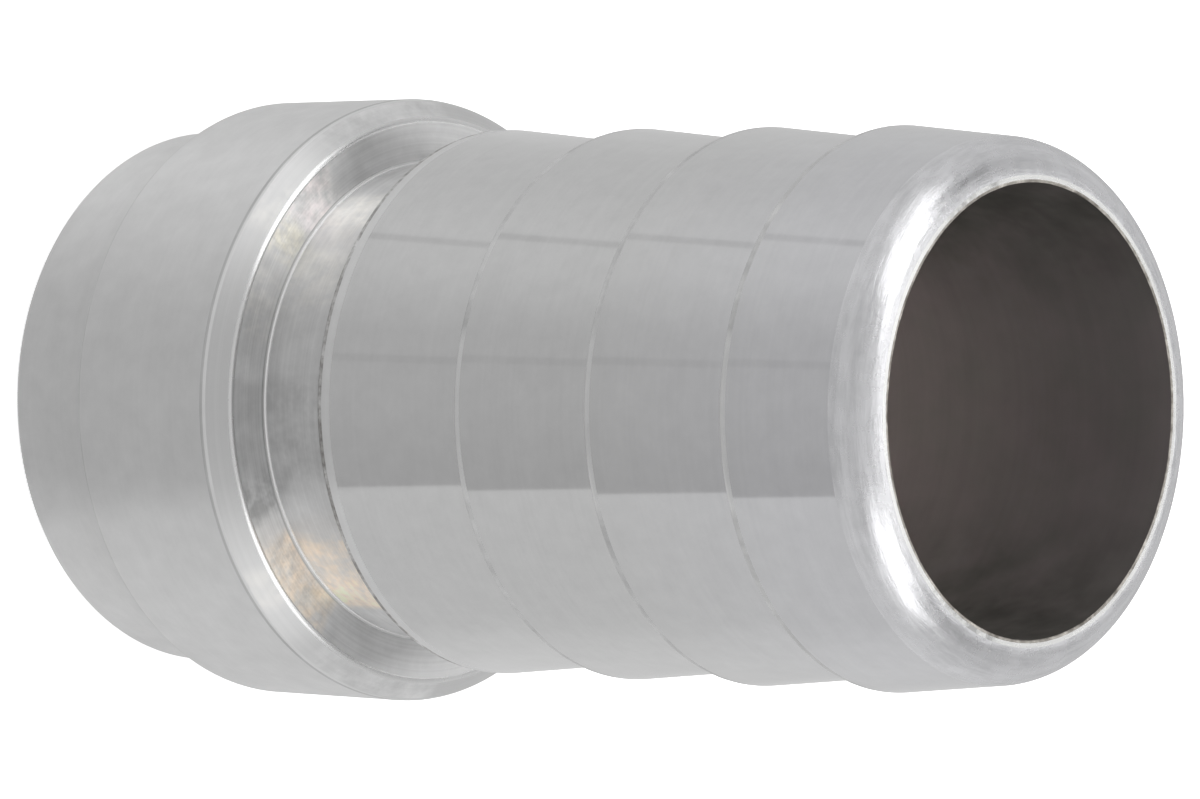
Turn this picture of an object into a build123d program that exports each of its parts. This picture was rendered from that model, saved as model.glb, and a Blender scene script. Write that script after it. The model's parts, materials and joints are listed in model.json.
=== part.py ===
"""Hose barb tail: a straight turned steel tail that carries a hose over four barbs.

The part stands on its rear end. Z runs along the bore, from the rear face (Z = 0) to the nose.
All sizes are in millimetres.
"""
import math
import os

from build123d import *

# Plain spigot at the rear, with the outside and the wall of 3/4 inch pipe
spigot_diameter = 26.9
spigot_length = 6.0
spigot_wall = 3.2

# Collar that the hose end stops against, stepped up from the spigot and bevelled towards the hose
collar_step = 1.4
collar_length = 9.8
collar_bevel = 1.0
collar_round = 0.4

# Locking groove in front of the collar, for the inner lip of a hose ferrule
groove_wall = 1.45
groove_width = 5.0

# Barbs for a hose of 25.4 mm bore; each one falls from its crest towards the nose
barb_count = 4
barb_height = 1.5
barb_taper = 0.07
first_barb_length = 8.8
barb_pitch = 8.05
barb_slope = 5.8
first_crest_land = 0.55

# Rounded nose, measured from the last crest, with the flat rim that the round leaves at the bore
nose_length = 7.5
nose_rim = 0.35

# Chamfer that takes the burr off the sharp edges
edge_break = 0.15

# Radii of the plain turned stretches
spigot_radius = spigot_diameter / 2
bore_radius = spigot_radius - spigot_wall
collar_radius = spigot_radius + collar_step
groove_radius = bore_radius + groove_wall

# Heights of the main shoulders above the rear face
collar_rear = spigot_length
collar_front = collar_rear + collar_length
first_crest = collar_front + groove_width
crest_heights = [first_crest] + [
    first_crest + first_barb_length + number * barb_pitch for number in range(barb_count - 1)
]
nose_end = crest_heights[-1] + nose_length


def crest_radius(number):
    """Radius of a barb's crest; every barb is a little lower than the one behind it."""
    return groove_radius + barb_height - number * barb_taper


def fall(length):
    """How much the radius falls along a barb's slope of this length."""
    return length * math.tan(math.radians(barb_slope))


# The last slope runs into a round that fills the nose's wall, apart from the rim
nose_radius = crest_radius(barb_count - 1) - fall(nose_length)
nose_turn = math.radians(90 - barb_slope)
nose_round = (nose_radius - bore_radius - nose_rim) / math.tan(nose_turn / 2)

# Half section as corners: radius, height and the round on the corner
corners = [
    (bore_radius, 0, 0),
    (spigot_radius, 0, 0),
    (spigot_radius, collar_rear, 0),
    (collar_radius, collar_rear, 0),
    (collar_radius, collar_front - collar_bevel, collar_round),
    (collar_radius - collar_bevel, collar_front, collar_round),
    (groove_radius, collar_front, 0),
    (groove_radius, first_crest, 0),
    (crest_radius(0), first_crest, 0),
    (crest_radius(0), first_crest + first_crest_land, 0),
]

# Every later barb adds the root at the foot of the last slope and a new crest
slope_start = first_crest + first_crest_land
for number in range(1, barb_count):
    root_radius = crest_radius(number - 1) - fall(crest_heights[number] - slope_start)
    corners.append((root_radius, crest_heights[number], 0))
    corners.append((crest_radius(number), crest_heights[number], 0))
    slope_start = crest_heights[number]

corners.append((nose_radius, nose_end, nose_round))
corners.append((bore_radius, nose_end, 0))

# Sharp edges that are broken: both ends of the bore, the rear rim, the collar's rear and the crests
sharp_edges = [(bore_radius, 0), (spigot_radius, 0), (collar_radius, collar_rear), (bore_radius, nose_end)]
sharp_edges += [(crest_radius(number), height) for number, height in enumerate(crest_heights)]


def is_sharp(vertex):
    """Whether a corner of the half section is one of the edges to break."""
    return any(math.dist((vertex.X, vertex.Y), edge) < edge_break / 10 for edge in sharp_edges)


# One turned piece: the half section spun about the bore's axis
with BuildPart() as hose_tail:
    with BuildSketch(Plane.XZ) as half_section:
        with BuildLine():
            FilletPolyline(
                [(radius, height) for radius, height, corner_round in corners],
                radius=[corner_round for radius, height, corner_round in corners],
                close=True,
            )
        make_face()
        chamfer(half_section.vertices().filter_by(is_sharp), edge_break)
    revolve(axis=Axis.Z)

hose_tail.part.label = "hose_tail"
os.makedirs("parts", exist_ok=True)
export_step(hose_tail.part, "parts/hose_tail.step")
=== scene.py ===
"""Looks of the hose barb tail: one turned steel piece on a pale floor in soft studio light.

The piece stands on its rear end at the origin, with its bore along +Z. The camera looks down on it
from +X and is rolled over, so that the nose points right in the picture.
"""
import json
import math

import bpy
from mathutils import Matrix, Quaternion, Vector, noise


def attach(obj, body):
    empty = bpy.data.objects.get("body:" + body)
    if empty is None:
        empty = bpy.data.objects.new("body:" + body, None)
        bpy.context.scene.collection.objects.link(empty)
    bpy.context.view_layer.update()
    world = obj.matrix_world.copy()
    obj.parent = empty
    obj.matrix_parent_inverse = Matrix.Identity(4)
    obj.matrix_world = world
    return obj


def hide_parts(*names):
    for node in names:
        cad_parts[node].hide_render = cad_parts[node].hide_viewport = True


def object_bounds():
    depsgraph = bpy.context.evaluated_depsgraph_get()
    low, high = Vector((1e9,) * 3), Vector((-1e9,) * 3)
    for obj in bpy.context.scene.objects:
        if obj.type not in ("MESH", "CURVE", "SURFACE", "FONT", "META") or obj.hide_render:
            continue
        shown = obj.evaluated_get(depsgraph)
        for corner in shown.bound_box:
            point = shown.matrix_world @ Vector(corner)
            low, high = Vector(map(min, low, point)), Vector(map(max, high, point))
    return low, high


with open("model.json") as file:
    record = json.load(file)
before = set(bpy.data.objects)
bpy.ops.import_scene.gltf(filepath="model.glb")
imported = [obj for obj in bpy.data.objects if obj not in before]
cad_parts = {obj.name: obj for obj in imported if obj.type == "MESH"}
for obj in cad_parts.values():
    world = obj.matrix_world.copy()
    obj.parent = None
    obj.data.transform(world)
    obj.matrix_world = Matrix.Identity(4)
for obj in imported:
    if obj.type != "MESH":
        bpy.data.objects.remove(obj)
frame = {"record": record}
cad_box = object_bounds()
middle = (cad_box[0] + cad_box[1]) / 2

mm = 0.001

# Sizes that the frame gives
mounts = {mount["name"]: mount for mount in frame["record"]["mounts"]}
bore_radius = mounts["through_bore"]["dims"]["r_mm"] * mm
spigot_radius = mounts["spigot"]["dims"]["r_mm"] * mm
spigot_length = mounts["collar_shoulder"]["pos_m"][2]
collar_front = mounts["hose_stop"]["pos_m"][2]
collar_radius = cad_box[1].x
nose_end = cad_box[1].z

# Collar bevel, groove and barbs
collar_bevel = 1.0 * mm
groove_radius = 11.7 * mm
groove_width = 5.0 * mm
barb_count = 4
barb_height = 1.5 * mm
barb_taper = 0.07 * mm
first_barb_length = 8.8 * mm
barb_pitch = 8.05 * mm
barb_slope = math.radians(5.8)
first_crest_land = 0.55 * mm
nose_length = 7.5 * mm
nose_rim = 0.35 * mm

# Rounds that the cutting tool and the deburring leave on the corners
rim_round = 0.2 * mm
root_round = 0.18 * mm
collar_round = 0.4 * mm
crest_round = 0.25 * mm
bore_edge_round = 0.03 * mm

# Dark line of painted shade and pale land, partly painted highlight, on the first crest, and painted pale
# lips on the other three
crest_shade = 0.13 * mm
pale_land = 0.87 * mm
crest_lip = 0.18 * mm

# Burr at the mouth of the bore, with its small nicks
burr_width = 0.14 * mm
nick_depth = 0.06 * mm
nick_length = 1.2 * mm

# Fineness of the turned mesh
steps_around = 384
steps_in_round = 6
steps_in_nose = 20

# Camera, as the photograph was taken: place, the point on the axis that it looks at, roll and lens
camera_place = Vector((0.199918, 0.0, 0.210115))
camera_target = Vector((0.0, -0.00018172, 0.02681903))
camera_roll = math.radians(91.03)
camera_lens = 169.71
sensor_width = 36.0
nearest_view = 0.01
farthest_view = 20.0

# Colours of the bare steel and of the dull scale in the bore
steel_colour = (0.72, 0.72, 0.72)
bore_colour = (0.188, 0.162, 0.162)

# Tints that multiply the colour under them: stains and grime, and also painted shade, painted shadow and
# painted highlights
bore_shadow = (0.43, 0.46, 0.42)
# grime at the bore's burr, and painted shade along the first crest
grime_and_shade = (0.56, 0.55, 0.54)
# painted shade: a dark band on the nose rim at the sides
painted_dark_band = (0.55, 0.55, 0.55)
# painted shade: dims sides that the lamps light, on the crests and on a patch of the face
painted_shade = (0.68, 0.68, 0.68)
speckle = (0.83, 0.83, 0.83)
# stain colours, brighter than 1, so that they also paint highlights in the lit sectors
rose_stain_and_highlight = (1.18, 1.10, 1.11)
straw_stain_and_highlight = (1.18, 1.15, 1.04)
peach_stain_and_highlight = (1.16, 1.08, 0.99)
amber_stain_and_highlight = (1.24, 1.15, 1.05)
# painted highlight: pale glints in the lit sectors of the bevel, face and groove
painted_glint = (1.13, 1.12, 1.10)
# painted sheen on the sides of the bevel
painted_sheen = (1.12, 1.12, 1.12)
moss_stain = (0.86, 0.93, 0.88)
cool_tint = (1.025, 1.025, 1.05)

# Stains, painted shade and painted highlights by sector round the axis: middle and reach in degrees, tint,
# fineness of the specks. A reach of 360 covers the whole way round.
# painted highlights on the bevel
bevel_painted_highlights = [
    (-40, 7, painted_glint, 500.0),
    (40, 6, painted_glint, 400.0),
    (-76, 18, painted_sheen, 300.0),
    (-76, 18, painted_sheen, 900.0),
    (76, 18, painted_sheen, 300.0),
    (76, 18, painted_sheen, 900.0),
]
# stains on the face, with painted highlights in its lit sectors and a patch of painted shade
face_stains_and_painted_light = [
    (-48, 8, rose_stain_and_highlight, 500.0),
    (-51, 6, painted_glint, 900.0),
    (-36, 6, straw_stain_and_highlight, 700.0),
    (44, 13, peach_stain_and_highlight, 400.0),
    (44, 13, peach_stain_and_highlight, 900.0),
    (-20, 9, painted_glint, 700.0),
    (22, 6, painted_shade, 700.0),
    (-44, 13, speckle, 1500.0),
    (44, 13, speckle, 1500.0),
]
# stains in the groove, with painted highlights in its lit sectors
groove_stains_and_painted_light = [
    (-46, 13, painted_glint, 400.0),
    (-50, 8, painted_glint, 900.0),
    (-29, 9, painted_glint, 900.0),
    (48, 13, amber_stain_and_highlight, 500.0),
    (47, 14, peach_stain_and_highlight, 700.0),
    (53, 7, amber_stain_and_highlight, 900.0),
    (9, 15, speckle, 500.0),
]
# painted shade on the crests' lit sides
crest_painted_shade = [
    (-50, 38, painted_shade, 600.0),
    (52, 32, painted_shade, 600.0),
]
# painted shade on the nose rim's sides
rim_painted_shade = [
    (-64, 12, painted_dark_band, 900.0),
    (66, 18, painted_dark_band, 900.0),
]
# grime on the burr, and painted shade on the first crest's dark line
grime_and_painted_shade = [
    (0, 360, grime_and_shade, 600.0),
    (0, 360, grime_and_shade, 2200.0),
]
# a moss stain all round, and painted shadow on the bore's sides
bore_stains_and_shadow = [
    (0, 360, moss_stain, 260.0),
    (-95, 62, bore_shadow, 120.0),
    (95, 62, bore_shadow, 120.0),
    (-95, 62, bore_shadow, 300.0),
    (95, 62, bore_shadow, 300.0),
]

# Soft edge of a tint's sector in degrees: narrow on the outside, wide in the bore
tint_edge = 3.0
bore_tint_edge = 42.0

# How far a tint's specks fade into the bare steel: crisp outside, soft on the crests and in the bore
crisp_specks = 0.12
soft_specks = 0.25

# Painted light in the bore, which makes its dark scale paler with depth: how deep it still changes, and how
# much paler it gets
painted_light_depth = 27.7 * mm
bore_painted_light = 4.1
bore_metallic = 0.3

# How much of a finish's mottle also shows in its roughness
mottle_in_roughness = 0.4

# The range of the marks' relief that shows as lines, and how fast the marks change round the axis
line_range = (0.35, 0.65)
even_waver = 20.0

# Quarter turn of the shader's stretch, which makes the highlights follow marks cut round the axis
round_the_axis = 0.25

# Marks of the fine cut that finished the narrow edges
fine_cut = {"feed": 0.25 * mm, "mark_depth": 0.0005 * mm}

# The room: even glow of the floor, of the walls near the horizon and of the ceiling
floor_reach = 3.0
floor_colour = (0.92, 0.92, 0.92)
floor_roughness = 0.9
floor_specular = 0.1
floor_glow = 0.5
horizon_glow = 0.75
ceiling_glow = 0.60
ceiling_start = 0.6

# Overhead light for the floor and the dull scale in the bore, which bare steel doesn't reflect
fill_size = 1.5
fill_height = 1.0
fill_power = 4.2

# Softboxes: the azimuths and tilts in degrees between which each shows in the steel, and its brightness
lamp_distance = 0.6
softboxes = [
    ("left_low_softbox", (-56, -38), (37, 46), 0.60),
    ("left_low_fade", (-38, -23), (37, 46), 0.22),
    ("left_softbox", (-57, -26), (47, 61), 1.35),
    ("left_high_softbox", (-50, -28), (62, 71), 2.6),
    ("left_top_softbox", (-50, -19), (71, 77), 2.6),
    ("right_low_softbox", (30, 54), (37, 46), 0.40),
    ("right_softbox", (21, 54), (47, 63), 1.35),
    ("right_high_softbox", (27, 44), (64, 77), 2.1),
    ("front_softbox", (-18, 18), (47, 66), 0.13),
    ("back_low_softbox", (-18, 22), (70, 77), 0.5),
    ("back_softbox", (-47, 46), (78, 90), 1.45),
]

# Standing cards that only the steel reflects, placed in the same way
card_distance = 0.54
standing_cards = [
    ("table_edge", (-22, 12), (19, 22), 0.35),
    ("left_flag", (-72, -55), (63, 74), 0.10),
    ("right_flag", (50, 73), (67, 85), 0.35),
]

# Cards on the floor that only the steel reflects. Each row gives the barrel's azimuths at the card's two
# edges, its brightness as pairs of degrees and value, and its layer, one step above the layer below it.
# One more card lies under the whole floor.
barrel_radius = 12.7 * mm
card_reach = 0.5
card_step = 0.02 * mm
floor_cards = [
    ("mid_card", -8.2, 17.6, [(-20, 0.61), (0, 0.60), (22, 0.555), (38, 0.54)], 1),
    ("near_line", -8.9, -7.4, [(0, 0.57)], 2),
    ("far_line", -35.0, -33.5, [(0, 0.68)], 2),
]
floor_glow_reach = 1.0
floor_glow_stops = [
    (-180, 0.60), (-155, 0.60), (-128, 0.70), (-90, 0.73), (-64, 0.79), (-48, 0.76), (-24, 0.62), (-8, 0.61),
    (28, 0.61), (32, 0.77), (50, 0.75), (90, 0.75), (104, 0.80), (122, 0.79), (140, 0.70), (180, 0.60),
]


# Shape of the turned piece


def crest_radius(number):
    """Radius of a barb's crest; every barb is a little lower than the one behind it."""
    return groove_radius + barb_height - number * barb_taper


def fall(length):
    """How much the radius falls along a barb's slope of this length."""
    return length * math.tan(barb_slope)


def half_section():
    """Corners of the half section, from the rear mouth of the bore round the outside to its front mouth.

    Each has its radius, its height, its round with the steps and the two finishes of that round, and the
    finish that follows. A corner without steps only changes the finish along a straight stretch.
    """
    nose_radius = crest_radius(barb_count - 1) - fall(nose_length)
    nose_turn = math.radians(90) - barb_slope
    nose_round = (nose_radius - bore_radius - nose_rim) / math.tan(nose_turn / 2)
    first_crest = collar_front + groove_width
    few = steps_in_round
    corners = [
        (bore_radius, 0, bore_edge_round, few, ("edge", "edge"), "faced"),
        (spigot_radius, 0, rim_round, few, ("edge", "edge"), "satin"),
        (spigot_radius, spigot_length, root_round, few, ("satin", "faced"), "faced"),
        (collar_radius, spigot_length, rim_round, few, ("shaded_rim", "shaded_rim"), "satin"),
        (collar_radius, collar_front - collar_bevel, collar_round, few, ("shaded_half", "ridge"), "bevel"),
        (collar_radius - collar_bevel, collar_front, collar_round, few, ("edge", "edge"), "faced"),
        (groove_radius, collar_front, root_round, few, ("shaded_half", "root"), "grooved"),
        (groove_radius, first_crest, root_round, few, ("grooved", "grooved"), "grooved"),
        (crest_radius(0), first_crest, crest_round, few, ("shaded", "shaded"), "shaded"),
        (crest_radius(0), first_crest + crest_round + crest_shade, 0, 0, (), "land"),
        (crest_radius(0), first_crest + first_crest_land, crest_round / 2, few, ("land", "land"), "land"),
        (crest_radius(0) - fall(pale_land - first_crest_land), first_crest + pale_land, 0, 0, (), "ground"),
    ]
    slope_start = first_crest + first_crest_land
    for number in range(1, barb_count):
        height = first_crest + first_barb_length + (number - 1) * barb_pitch
        root_radius = crest_radius(number - 1) - fall(height - slope_start)
        lip = crest_round + crest_lip
        corners.append((root_radius, height, root_round, few, ("ground", "ground"), "ground"))
        corners.append((crest_radius(number), height, crest_round, few, ("crest", "crest"), "crest"))
        corners.append((crest_radius(number) - fall(lip), height + lip, 0, 0, (), "ground"))
        slope_start = height
    corners.append((nose_radius, nose_end, nose_round, steps_in_nose, ("nose", "nose"), "rim"))
    corners.append((bore_radius + burr_width, nose_end, 0, 0, (), "burr"))
    corners.append((bore_radius, nose_end, bore_edge_round, few, ("burr", "burr"), "bore"))
    return corners


def rounded_rings(corners):
    """Rings of the turned surface: radius, height, outward normal and finish up to the next ring.

    The first half of a round takes the first of its two finishes, and the second half the other.
    """
    rings = []
    for index, (radius, height, corner_round, steps, round_finishes, finish) in enumerate(corners):
        here = Vector((radius, height))
        before = Vector(corners[index - 1][:2])
        after = Vector(corners[(index + 1) % len(corners)][:2])
        way_in = (here - before).normalized()
        way_out = (after - here).normalized()
        turn = math.atan2(way_in.cross(way_out), way_in.dot(way_out))
        start = here - way_in * corner_round * math.tan(abs(turn) / 2)
        side = Vector((-way_in.y, way_in.x)) * math.copysign(corner_round, turn)
        centre = start + side
        for step in range(steps + 1):
            angle = turn * step / max(steps, 1)
            arm = start - centre
            cosine, sine = math.cos(angle), math.sin(angle)
            point = centre + Vector((arm.x * cosine - arm.y * sine, arm.x * sine + arm.y * cosine))
            along = Vector((way_in.x * cosine - way_in.y * sine, way_in.x * sine + way_in.y * cosine))
            normal = (along.y, -along.x)
            band = finish if step == steps else round_finishes[2 * step // steps]
            rings.append((point.x, point.y, normal, band))
    return rings


def turn_on_lathe(name, rings, materials):
    """Spins the rings into one closed mesh with exact normals and the burr's nicks.

    Its cut_length is how far along the half section the tool has come at each point.
    """
    finishes = list(materials)
    points, normals, cut_length = [], [], []
    travelled = 0.0
    for index, (radius, height, normal, band) in enumerate(rings):
        if index:
            travelled += math.dist((radius, height), rings[index - 1][:2])
        for step in range(steps_around):
            azimuth = 2 * math.pi * step / steps_around
            cosine, sine = math.cos(azimuth), math.sin(azimuth)
            reach = radius
            if band == "burr" and radius < bore_radius + burr_width / 2:
                spot = Vector((radius * cosine, radius * sine, height)) / nick_length
                reach += nick_depth * max(0.0, noise.noise(spot))
            points.append((reach * cosine, reach * sine, height))
            normals.append((normal[0] * cosine, normal[0] * sine, normal[1]))
            cut_length.append(travelled)
    faces, slots = [], []
    for index in range(len(rings)):
        following = (index + 1) % len(rings)
        for step in range(steps_around):
            beside = (step + 1) % steps_around
            faces.append((
                index * steps_around + step,
                index * steps_around + beside,
                following * steps_around + beside,
                following * steps_around + step,
            ))
            slots.append(finishes.index(rings[index][3]))
    mesh = bpy.data.meshes.new(name)
    mesh.from_pydata(points, [], faces)
    for finish in finishes:
        mesh.materials.append(materials[finish])
    mesh.polygons.foreach_set("material_index", slots)
    mesh.polygons.foreach_set("use_smooth", [True] * len(faces))
    mesh.attributes.new("cut_length", "FLOAT", "POINT").data.foreach_set("value", cut_length)
    mesh.normals_split_custom_set_from_vertices(normals)
    piece = bpy.data.objects.new(name, mesh)
    bpy.context.scene.collection.objects.link(piece)
    return piece


# Steel, what has marked it, and the light and shade painted on it


def add_node(tree, kind, inputs=None, **settings):
    """A shader node; each input takes a plain value or the output of another node."""
    node = tree.nodes.new("ShaderNode" + kind)
    for label, value in settings.items():
        setattr(node, label, value)
    for label, value in (inputs or {}).items():
        if isinstance(value, bpy.types.NodeSocket):
            tree.links.new(value, node.inputs[label])
        else:
            node.inputs[label].default_value = value
    return node


def calculate(tree, operation, first, second=0.0):
    """The output of one Math node."""
    return add_node(tree, "Math", {0: first, 1: second}, operation=operation).outputs[0]


def group_with_sockets(name, inputs, outputs):
    """A new node group with named inputs, each a float with its default, and named outputs."""
    group = bpy.data.node_groups.new(name, "ShaderNodeTree")
    for label, value in inputs:
        socket = group.interface.new_socket(label, in_out="INPUT", socket_type="NodeSocketFloat")
        socket.default_value = value
    for label in outputs:
        group.interface.new_socket(label, in_out="OUTPUT", socket_type="NodeSocketFloat")
    return group, group.nodes.new("NodeGroupInput").outputs, group.nodes.new("NodeGroupOutput").inputs


def turning_marks_group():
    """Fine lines that the cutting tool leaves round the axis: Height is their relief, Lines their mask."""
    group, given, results = group_with_sockets(
        "turning_marks", [("Feed", 0.2 * mm), ("Waver", even_waver)], ["Height", "Lines"],
    )
    travelled = add_node(group, "Attribute", attribute_name="cut_length")
    place = add_node(group, "TexCoord")
    across = add_node(group, "SeparateXYZ", {0: place.outputs["Object"]})
    spot = add_node(group, "CombineXYZ", {
        0: calculate(group, "MULTIPLY", across.outputs["X"], given["Waver"]),
        1: calculate(group, "MULTIPLY", across.outputs["Y"], given["Waver"]),
        2: calculate(group, "DIVIDE", travelled.outputs["Fac"], given["Feed"]),
    })
    rows = add_node(group, "TexNoise", {
        "Vector": spot.outputs[0], "Scale": 1.0, "Detail": 3.0, "Roughness": 0.6,
    })
    lines = add_node(group, "MapRange", {
        "Value": rows.outputs["Fac"], "From Min": line_range[0], "From Max": line_range[1],
    })
    group.links.new(rows.outputs["Fac"], results["Height"])
    group.links.new(lines.outputs["Result"], results["Lines"])
    return group


def mottle_group():
    """Soft cloudy patches from handling, as a value round zero that is at most half of Amount."""
    group, given, results = group_with_sockets("soft_mottle", [("Scale", 300.0), ("Amount", 0.1)], ["Value"])
    place = add_node(group, "TexCoord")
    clouds = add_node(group, "TexNoise", {
        "Vector": place.outputs["Object"], "Scale": given["Scale"], "Detail": 4.0, "Roughness": 0.6,
    })
    centred = calculate(group, "SUBTRACT", clouds.outputs["Fac"], 0.5)
    group.links.new(calculate(group, "MULTIPLY", centred, given["Amount"]), results["Value"])
    return group


def sector_tint_group():
    """Mask of a tint over a sector round the axis, in fine specks: stains, painted shade, painted
    highlights. Angles in degrees.
    """
    inputs = [
        ("Middle", 0.0),
        ("Reach", 20.0),
        ("Softness", tint_edge),
        ("Speck Scale", 900.0),
        ("Speck Blur", crisp_specks),
    ]
    group, given, results = group_with_sockets("sector_tint", inputs, ["Mask"])
    place = add_node(group, "TexCoord")
    across = add_node(group, "SeparateXYZ", {0: place.outputs["Object"]})
    angle = calculate(group, "ARCTAN2", across.outputs["Y"], across.outputs["X"])
    off_middle = calculate(group, "SUBTRACT", calculate(group, "DEGREES", angle), given["Middle"])
    inside = calculate(group, "SUBTRACT", given["Reach"], calculate(group, "ABSOLUTE", off_middle))
    cover = add_node(group, "Clamp", {"Value": calculate(group, "DIVIDE", inside, given["Softness"])})
    specks = add_node(group, "TexNoise", {
        "Vector": place.outputs["Object"], "Scale": given["Speck Scale"], "Detail": 3.0, "Roughness": 0.7,
    })
    patchy = add_node(group, "MapRange", {
        "Value": specks.outputs["Fac"],
        "From Min": calculate(group, "SUBTRACT", 0.5, given["Speck Blur"]),
        "From Max": calculate(group, "ADD", 0.5, given["Speck Blur"]),
    })
    mask = calculate(group, "MULTIPLY", cover.outputs[0], patchy.outputs["Result"])
    group.links.new(mask, results["Mask"])
    return group


def place_group(tree, group, **values):
    """Places a node group with its own values; spaces in socket names are written as underscores."""
    node = add_node(tree, "Group", node_tree=group)
    for label, value in values.items():
        node.inputs[label.replace("_", " ")].default_value = value
    return node.outputs


def apply_tint(tree, colour, mask, tint):
    """The colour, multiplied by the tint where the mask is on."""
    mix = add_node(tree, "Mix", {"Factor": mask}, data_type="RGBA", blend_type="MULTIPLY")
    tree.links.new(colour, mix.inputs["A"])
    mix.inputs["B"].default_value = (*tint, 1.0)
    return mix.outputs["Result"]


def bare_steel(
    name, effects, colour, roughness, anisotropy,
    feed, mark_depth, line_shade, mottle_scale, mottle, waver=even_waver,
):
    """Turned steel with its marks and mottle; gives the material, its node tree and its colour so far."""
    material = bpy.data.materials.new(name)
    material.use_nodes = True
    tree = material.node_tree
    shader = tree.nodes["Principled BSDF"]
    shader.inputs["Metallic"].default_value = 1.0
    shader.inputs["Anisotropic"].default_value = anisotropy
    shader.inputs["Anisotropic Rotation"].default_value = round_the_axis
    tangent = add_node(tree, "Tangent", direction_type="RADIAL", axis="Z")
    tree.links.new(tangent.outputs[0], shader.inputs["Tangent"])

    marks = place_group(tree, effects["marks"], Feed=feed, Waver=waver)
    clouds = place_group(tree, effects["mottle"], Scale=mottle_scale, Amount=mottle)
    bump = add_node(tree, "Bump", {"Height": marks["Height"], "Distance": mark_depth})
    tree.links.new(bump.outputs[0], shader.inputs["Normal"])
    uneven = calculate(tree, "MULTIPLY", clouds["Value"], mottle_in_roughness)
    tree.links.new(calculate(tree, "ADD", uneven, roughness), shader.inputs["Roughness"])

    line_value = calculate(tree, "MULTIPLY", calculate(tree, "SUBTRACT", marks["Lines"], 0.5), line_shade)
    brightness = calculate(tree, "ADD", calculate(tree, "ADD", clouds["Value"], line_value), 1.0)
    tinted = add_node(tree, "VectorMath", {0: colour, "Scale": brightness}, operation="SCALE")
    return material, tree, tinted.outputs[0]


def finished(material, tree, colour):
    """Joins the final colour to the shader."""
    tree.links.new(colour, tree.nodes["Principled BSDF"].inputs["Base Color"])
    return material


def plain_steel(name, effects, **values):
    """Turned steel without stains."""
    return finished(*bare_steel(name, effects, **values))


def add_sector_tints(tree, effects, colour, stains, softness, speck_blur):
    """The colour with all of these sector tints on it: stains, painted shade and painted highlights."""
    for azimuth, reach, tint, scale in stains:
        mask = place_group(
            tree, effects["tints"],
            Middle=azimuth, Reach=reach, Softness=softness, Speck_Scale=scale, Speck_Blur=speck_blur,
        )["Mask"]
        colour = apply_tint(tree, colour, mask, tint)
    return colour


def sector_tinted_steel(name, effects, stains, speck_blur=crisp_specks, **values):
    """Turned steel with tints in sectors round the axis: stains, painted shade and painted highlights."""
    material, tree, colour = bare_steel(name, effects, **values)
    return finished(material, tree, add_sector_tints(tree, effects, colour, stains, tint_edge, speck_blur))


def ground_steel(name, effects, **values):
    """Smooth steel of the barbs, a touch cooler towards the nose."""
    material, tree, colour = bare_steel(name, effects, **values)
    place = add_node(tree, "TexCoord")
    height = add_node(tree, "SeparateXYZ", {0: place.outputs["Object"]}).outputs["Z"]
    towards_nose = add_node(tree, "MapRange", {
        "Value": height,
        "From Min": nose_end - nose_length - barb_pitch,
        "From Max": nose_end - nose_length / 2,
    })
    return finished(material, tree, apply_tint(tree, colour, towards_nose.outputs["Result"], cool_tint))


def bore_steel(name, effects, **values):
    """Dull dark scale inside the bore, more oxide than metal, made paler with depth by painted light and
    darker at its sides by painted shadow.
    """
    material, tree, colour = bare_steel(name, effects, **values)
    tree.nodes["Principled BSDF"].inputs["Metallic"].default_value = bore_metallic
    place = add_node(tree, "TexCoord")
    height = add_node(tree, "SeparateXYZ", {0: place.outputs["Object"]}).outputs["Z"]
    painted_paleness = add_node(tree, "MapRange", {
        "Value": height,
        "From Min": nose_end,
        "From Max": nose_end - painted_light_depth,
        "To Min": 1.0,
        "To Max": bore_painted_light,
    }, interpolation_type="SMOOTHSTEP")
    painted_light_colour = add_node(tree, "VectorMath", {0: colour, "Scale": painted_paleness.outputs["Result"]}, operation="SCALE")
    colour = add_sector_tints(tree, effects, painted_light_colour.outputs[0], bore_stains_and_shadow, bore_tint_edge, soft_specks)
    return finished(material, tree, colour)


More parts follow.
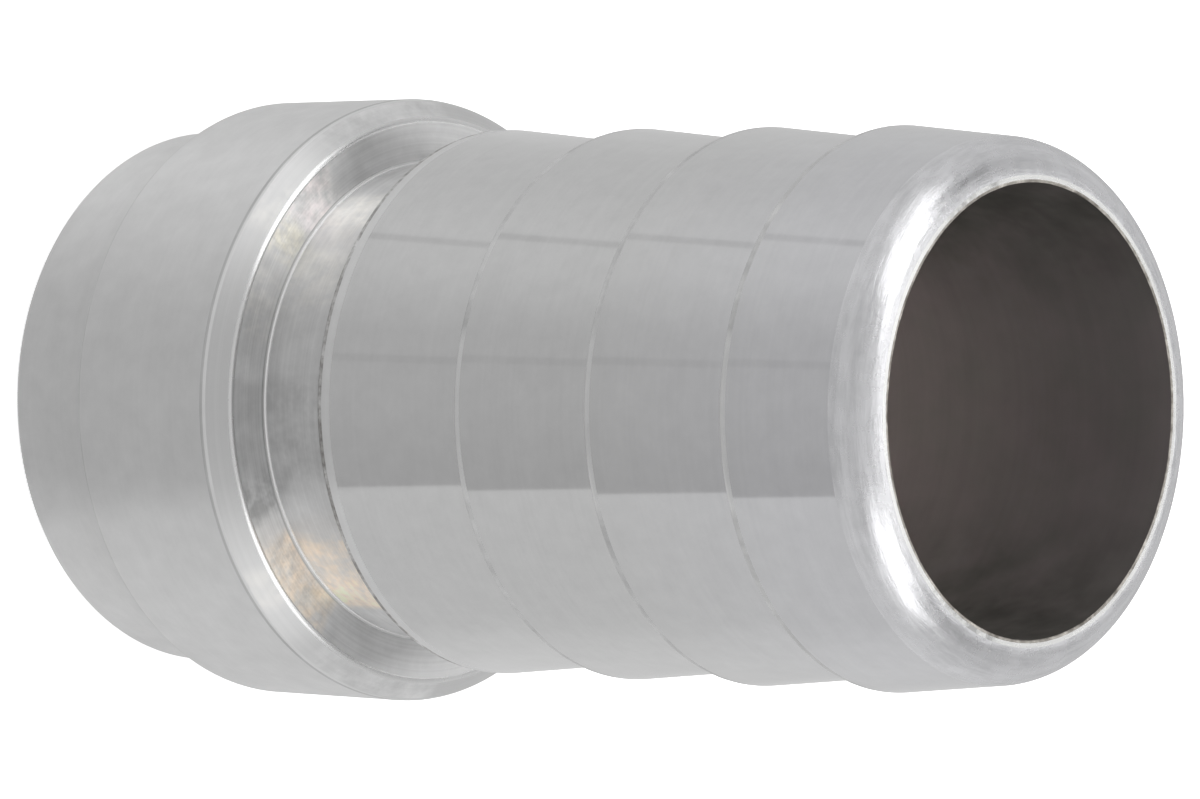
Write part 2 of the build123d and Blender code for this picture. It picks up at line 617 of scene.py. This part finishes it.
def steel_finishes():
    """Every finish on the piece, by name."""
    effects = {"marks": turning_marks_group(), "mottle": mottle_group(), "tints": sector_tint_group()}
    return {
        "satin": plain_steel(
            "satin_steel", effects, colour=steel_colour, roughness=0.46, anisotropy=0.90,
            feed=0.25 * mm, mark_depth=0.0003 * mm, line_shade=0.015, mottle_scale=700.0, mottle=0.20,
        ),
        # bevel with painted glints and painted sheen in fixed sectors
        "bevel": sector_tinted_steel(
            "bevel_steel", effects, bevel_painted_highlights, colour=(0.69, 0.69, 0.69), roughness=0.46, anisotropy=0.85,
            feed=0.20 * mm, mark_depth=0.001 * mm, line_shade=0.05, mottle_scale=500.0, mottle=0.12,
        ),
        # stains on the face, with painted highlights in its lit sectors and a patch of painted shade
        "faced": sector_tinted_steel(
            "faced_steel", effects, face_stains_and_painted_light, colour=(0.80, 0.80, 0.80), roughness=0.35, anisotropy=1.0,
            feed=0.16 * mm, mark_depth=0.002 * mm, line_shade=0.12, mottle_scale=500.0, mottle=0.55,
        ),
        # stains in the groove, with painted highlights in its lit sectors
        "grooved": sector_tinted_steel(
            "grooved_steel", effects, groove_stains_and_painted_light,
            colour=(0.74, 0.74, 0.74), roughness=0.42, anisotropy=1.0,
            feed=0.20 * mm, mark_depth=0.002 * mm, line_shade=0.10, mottle_scale=600.0, mottle=0.45,
        ),
        "ground": ground_steel(
            "ground_steel", effects, colour=(0.60, 0.60, 0.60), roughness=0.09, anisotropy=0.75,
            feed=0.30 * mm, mark_depth=0.0002 * mm, line_shade=0.02, mottle_scale=900.0, mottle=0.14,
        ),
        "nose": ground_steel(
            "nose_steel", effects, colour=(0.66, 0.66, 0.66), roughness=0.27, anisotropy=0.4,
            feed=0.20 * mm, mark_depth=0.022 * mm, line_shade=0.10, mottle_scale=900.0, mottle=0.26,
            waver=650.0,
        ),
        # painted highlight: a paler colour makes the groove root a bright line
        "root": plain_steel(
            "groove_root", effects, colour=(0.90, 0.90, 0.90), roughness=0.27, anisotropy=0.5,
            **fine_cut, line_shade=0.03, mottle_scale=400.0, mottle=0.25,
        ),
        # nose rim, with painted shade at its sides
        "rim": sector_tinted_steel(
            "nose_rim", effects, rim_painted_shade, colour=(0.80, 0.80, 0.79), roughness=0.27, anisotropy=0.4,
            feed=0.20 * mm, mark_depth=0.004 * mm, line_shade=0.10, mottle_scale=900.0, mottle=0.16,
            waver=250.0,
        ),
        # painted shade: a darker, blotchy rear rim of the collar, seen as a broken dark line at the step
        "shaded_rim": plain_steel(
            "shaded_rear_rim", effects, colour=(0.62, 0.62, 0.62), roughness=0.46, anisotropy=0.6,
            **fine_cut, line_shade=0.03, mottle_scale=350.0, mottle=0.60,
        ),
        "edge": plain_steel(
            "burnished_edge", effects, colour=steel_colour, roughness=0.27, anisotropy=0.5,
            **fine_cut, line_shade=0.03, mottle_scale=400.0, mottle=0.12,
        ),
        # partly painted highlight: a paler colour than the barbs' steel for the first crest's land
        "land": plain_steel(
            "crest_land", effects, colour=(0.68, 0.68, 0.68), roughness=0.36, anisotropy=0.6,
            **fine_cut, line_shade=0.05, mottle_scale=900.0, mottle=0.20,
        ),
        # pale lips painted lighter than the barbs as painted highlight, with painted shade on their lit
        # sides
        "crest": sector_tinted_steel(
            "crest_edge", effects, crest_painted_shade, speck_blur=soft_specks,
            colour=(0.70, 0.70, 0.70), roughness=0.36, anisotropy=0.6,
            **fine_cut, line_shade=0.05, mottle_scale=500.0, mottle=0.30,
        ),
        # painted shade: the darker first half of the collar's front round and of the groove root
        "shaded_half": plain_steel(
            "shaded_round_half", effects, colour=(0.54, 0.54, 0.54), roughness=0.45, anisotropy=0.3,
            **fine_cut, line_shade=0.05, mottle_scale=400.0, mottle=0.50,
        ),
        # painted highlight: the paler second half of the collar's front round
        "ridge": plain_steel(
            "bevel_ridge", effects, colour=(0.74, 0.74, 0.74), roughness=0.50, anisotropy=0.5,
            **fine_cut, line_shade=0.05, mottle_scale=400.0, mottle=0.20,
        ),
        # painted shade: a dark, jagged line along the first crest
        "shaded": sector_tinted_steel(
            "shaded_edge", effects, grime_and_painted_shade, colour=(0.78, 0.78, 0.78), roughness=0.4, anisotropy=0.3,
            feed=0.15 * mm, mark_depth=0.002 * mm, line_shade=0.2, mottle_scale=1200.0, mottle=0.4,
        ),
        "burr": sector_tinted_steel(
            "bore_burr", effects, grime_and_painted_shade, colour=(0.70, 0.67, 0.62), roughness=0.45, anisotropy=0.2,
            feed=0.05 * mm, mark_depth=0.002 * mm, line_shade=0.3, mottle_scale=900.0, mottle=0.3,
        ),
        "bore": bore_steel(
            "bore_steel", effects, colour=bore_colour, roughness=0.62, anisotropy=0.0,
            feed=0.60 * mm, mark_depth=0.004 * mm, line_shade=0.05, mottle_scale=250.0, mottle=0.32,
        ),
    }


# Camera and studio


def camera():
    """The photograph's camera, rolled so that the nose points right."""
    data = bpy.data.cameras.new("camera")
    data.lens = camera_lens
    data.sensor_width = sensor_width
    data.clip_start = nearest_view
    data.clip_end = farthest_view
    eye = bpy.data.objects.new("camera", data)
    look = (camera_target - camera_place).normalized()
    eye.rotation_mode = "QUATERNION"
    eye.location = camera_place
    eye.rotation_quaternion = look.to_track_quat("-Z", "Y") @ Quaternion((0, 0, 1), camera_roll)
    bpy.context.scene.collection.objects.link(eye)
    bpy.context.scene.camera = eye


def mirrored(azimuth, tilt):
    """Direction that the camera sees in a spot of the piece at this azimuth, tilted up from level."""
    azimuth, tilt = math.radians(azimuth), math.radians(tilt)
    facing = Vector((math.cos(azimuth) * math.cos(tilt), math.sin(azimuth) * math.cos(tilt), math.sin(tilt)))
    to_camera = (camera_place - middle).normalized()
    return facing * (2 * facing.dot(to_camera)) - to_camera


def softbox(name, azimuths, tilts, brightness):
    """A soft rectangular light, sized to show in the piece between two azimuths and two tilts."""
    low_left, low_right = (mirrored(azimuth, tilts[0]) for azimuth in azimuths)
    high_left, high_right = (mirrored(azimuth, tilts[1]) for azimuth in azimuths)
    away = (low_left + low_right + high_left + high_right).normalized()
    across = (low_right + high_right - low_left - high_left) / 2
    upward = (high_left + high_right - low_left - low_right) / 2
    upward -= away * upward.dot(away)
    side = upward.normalized().cross(-away)
    data = bpy.data.lights.new(name, "AREA")
    data.shape = "RECTANGLE"
    data.size = abs(across.dot(side)) * lamp_distance
    data.size_y = upward.length * lamp_distance
    # A flat light gives off pi times its brightness from each unit of its area
    data.energy = brightness * data.size * data.size_y * math.pi
    light = bpy.data.objects.new(name, data)
    # A light shines along its own -Z, so its Z axis points away from the piece
    turned = Matrix((-side, upward.normalized(), away)).transposed()
    light.matrix_world = Matrix.Translation(middle + away * lamp_distance) @ turned.to_4x4()
    light.visible_camera = False
    bpy.context.scene.collection.objects.link(light)


def top_fill():
    """Overhead light for the floor and the bore, kept out of what the steel reflects."""
    data = bpy.data.lights.new("top_fill", "AREA")
    data.shape = "SQUARE"
    data.size = fill_size
    data.energy = fill_power
    light = bpy.data.objects.new("top_fill", data)
    light.location = (0.0, 0.0, fill_height)
    light.visible_camera = False
    light.visible_glossy = False
    bpy.context.scene.collection.objects.link(light)


def flat_piece(name, outline, material):
    """A flat stage piece with this outline."""
    mesh = bpy.data.meshes.new(name)
    mesh.from_pydata(outline, [], [tuple(range(len(outline)))])
    mesh.materials.append(material)
    piece = bpy.data.objects.new(name, mesh)
    bpy.context.scene.collection.objects.link(piece)
    return piece


def square_outline(reach, height):
    """Corners of a level square that reaches this far from the middle on each side."""
    return [(x * reach, y * reach, height) for x, y in ((-1, -1), (1, -1), (1, 1), (-1, 1))]


def pale_floor():
    """Plain white floor with an even glow. The steel reflects the card under it instead."""
    material = bpy.data.materials.new("pale_floor")
    material.use_nodes = True
    shader = material.node_tree.nodes["Principled BSDF"]
    shader.inputs["Base Color"].default_value = (*floor_colour, 1.0)
    shader.inputs["Roughness"].default_value = floor_roughness
    shader.inputs["Specular IOR Level"].default_value = floor_specular
    shader.inputs["Emission Color"].default_value = (1.0, 1.0, 1.0, 1.0)
    shader.inputs["Emission Strength"].default_value = floor_glow
    floor = flat_piece("floor", square_outline(floor_reach, 0), material)
    floor.visible_glossy = False


def glow_material(name, stops):
    """A glowing card whose brightness changes round the axis; stops are pairs of degrees and brightness."""
    material = bpy.data.materials.new(name)
    material.use_nodes = True
    tree = material.node_tree
    tree.nodes.remove(tree.nodes["Principled BSDF"])
    place = add_node(tree, "NewGeometry")
    across = add_node(tree, "SeparateXYZ", {0: place.outputs["Position"]})
    azimuth = calculate(tree, "ARCTAN2", across.outputs["Y"], across.outputs["X"])
    share = calculate(tree, "ADD", calculate(tree, "DIVIDE", azimuth, 2 * math.pi), 0.5)
    ramp = add_node(tree, "ValToRGB", {0: share})
    ramp.color_ramp.elements.remove(ramp.color_ramp.elements[1])
    for number, (degrees, brightness) in enumerate(stops):
        where = degrees / 360 + 0.5
        element = ramp.color_ramp.elements[0] if number == 0 else ramp.color_ramp.elements.new(where)
        element.position = where
        element.color = (brightness, brightness, brightness, 1.0)
    glow = add_node(tree, "Emission", {"Color": ramp.outputs[0]})
    tree.links.new(glow.outputs[0], tree.nodes["Material Output"].inputs["Surface"])
    return material


def only_in_reflections(piece):
    """Keeps a card out of the picture and lets the steel reflect it."""
    piece.visible_camera = False
    piece.visible_diffuse = False
    piece.visible_shadow = False
    piece.visible_transmission = False
    piece.visible_volume_scatter = False


def floor_glow_card():
    """Card under the whole floor, for what the steel reflects from below."""
    outline = square_outline(floor_glow_reach, -card_step)
    card = flat_piece("floor_glow", outline, glow_material("floor_glow", floor_glow_stops))
    only_in_reflections(card)


def floor_card(name, first, last, stops, layer):
    """A card on the floor whose edges leave the barrel at two azimuths, where the barrel mirrors them."""
    ends = []
    for azimuth in (first, last):
        angle = math.radians(azimuth)
        start = Vector((math.cos(angle), math.sin(angle))) * barrel_radius
        end = start + Vector((math.cos(2 * angle), math.sin(2 * angle))) * card_reach
        ends.append((start, end))
    spots = [ends[0][0], ends[0][1], ends[1][1], ends[1][0]]
    outline = [(spot.x, spot.y, layer * card_step) for spot in spots]
    card = flat_piece(name, outline, glow_material(name, stops))
    only_in_reflections(card)


def standing_card(name, azimuths, tilts, brightness):
    """A standing card that shows in the piece between two azimuths and two tilts."""
    outline = []
    for azimuth, tilt in ((0, 0), (1, 0), (1, 1), (0, 1)):
        outline.append(middle + mirrored(azimuths[azimuth], tilts[tilt]) * card_distance)
    card = flat_piece(name, outline, glow_material(name, [(0, brightness)]))
    only_in_reflections(card)


def studio_world():
    """White to the camera, and a pale grey room in reflections, brighter near the horizon."""
    world = bpy.data.worlds.new("studio")
    bpy.context.scene.world = world
    world.use_nodes = True
    tree = world.node_tree
    room = tree.nodes["Background"]
    place = add_node(tree, "TexCoord")
    height = add_node(tree, "SeparateXYZ", {0: place.outputs["Generated"]}).outputs["Z"]
    shade = add_node(tree, "MapRange", {
        "Value": height,
        "From Min": 0.0,
        "From Max": ceiling_start,
        "To Min": horizon_glow,
        "To Max": ceiling_glow,
    })
    tree.links.new(shade.outputs["Result"], room.inputs["Color"])
    white = add_node(tree, "Background", {"Color": (1.0, 1.0, 1.0, 1.0)})
    ray = add_node(tree, "LightPath")
    either = add_node(tree, "MixShader", {
        0: ray.outputs["Is Camera Ray"], 1: room.outputs[0], 2: white.outputs[0],
    })
    tree.links.new(either.outputs[0], tree.nodes["World Output"].inputs["Surface"])


# The piece, dressed on the frame
tail = turn_on_lathe("turned_tail", rounded_rings(half_section()), steel_finishes())
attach(tail, "root")
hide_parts("hose_tail")

# The studio round it
pale_floor()
floor_glow_card()
for row in floor_cards:
    floor_card(*row)
for row in standing_cards:
    standing_card(*row)
for row in softboxes:
    softbox(*row)
top_fill()
studio_world()

camera()
bpy.context.scene.view_settings.view_transform = "Standard"
